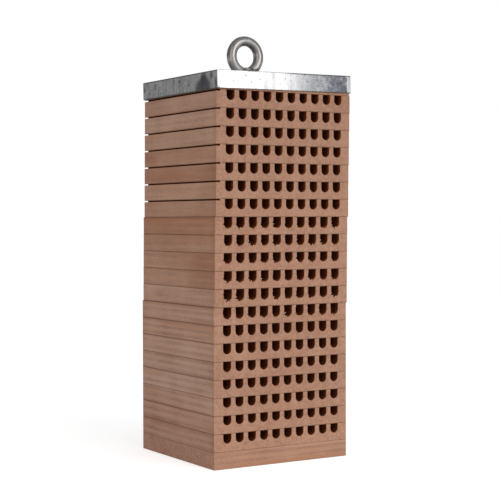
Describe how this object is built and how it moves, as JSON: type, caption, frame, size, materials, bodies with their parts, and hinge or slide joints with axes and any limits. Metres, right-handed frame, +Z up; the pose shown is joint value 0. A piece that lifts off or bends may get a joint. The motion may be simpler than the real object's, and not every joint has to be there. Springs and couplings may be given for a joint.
{
  "type": "insect hotel",
  "caption": "Tall block of stacked boards with round-bottomed nesting channels, a folded metal roof and a ring to hang it by.",
  "frame": {"origin": "on the floor, under the middle of the object's box", "axes": "+Z up, the nesting channels open towards -Y, +X to the right seen from the front"},
  "size_m": [0.1648, 0.1596, 0.4432],
  "materials": {
    "nest_wood": "bare milled hardwood, pinkish brown, matt",
    "base_wood": "bare milled hardwood, matt",
    "roof_sheet": "bright galvanised sheet with grey patches",
    "eye_steel": "satin forged steel",
    "fixing_steel": "plated steel"
  },
  "bodies": {
    "root": {"nest_board_01": "nest_wood", "nest_board_02": "nest_wood", "nest_board_03": "nest_wood", "nest_board_04": "nest_wood", "nest_board_05": "nest_wood", "nest_board_06": "nest_wood", "nest_board_07": "nest_wood", "nest_board_08": "nest_wood", "nest_board_09": "nest_wood", "nest_board_10": "nest_wood", "nest_board_11": "nest_wood", "nest_board_12": "nest_wood", "nest_board_13": "nest_wood", "nest_board_14": "nest_wood", "nest_board_15": "nest_wood", "nest_board_16": "nest_wood", "nest_board_17": "nest_wood", "nest_board_18": "nest_wood", "nest_board_19": "nest_wood", "nest_board_20": "nest_wood", "base_board": "base_wood", "lid_board": "nest_wood", "roof_cap": "roof_sheet", "eye_nut": "eye_steel", "threaded_rod": "fixing_steel", "base_washer": "fixing_steel", "base_nut": "fixing_steel"}
  },
  "joints": []
}
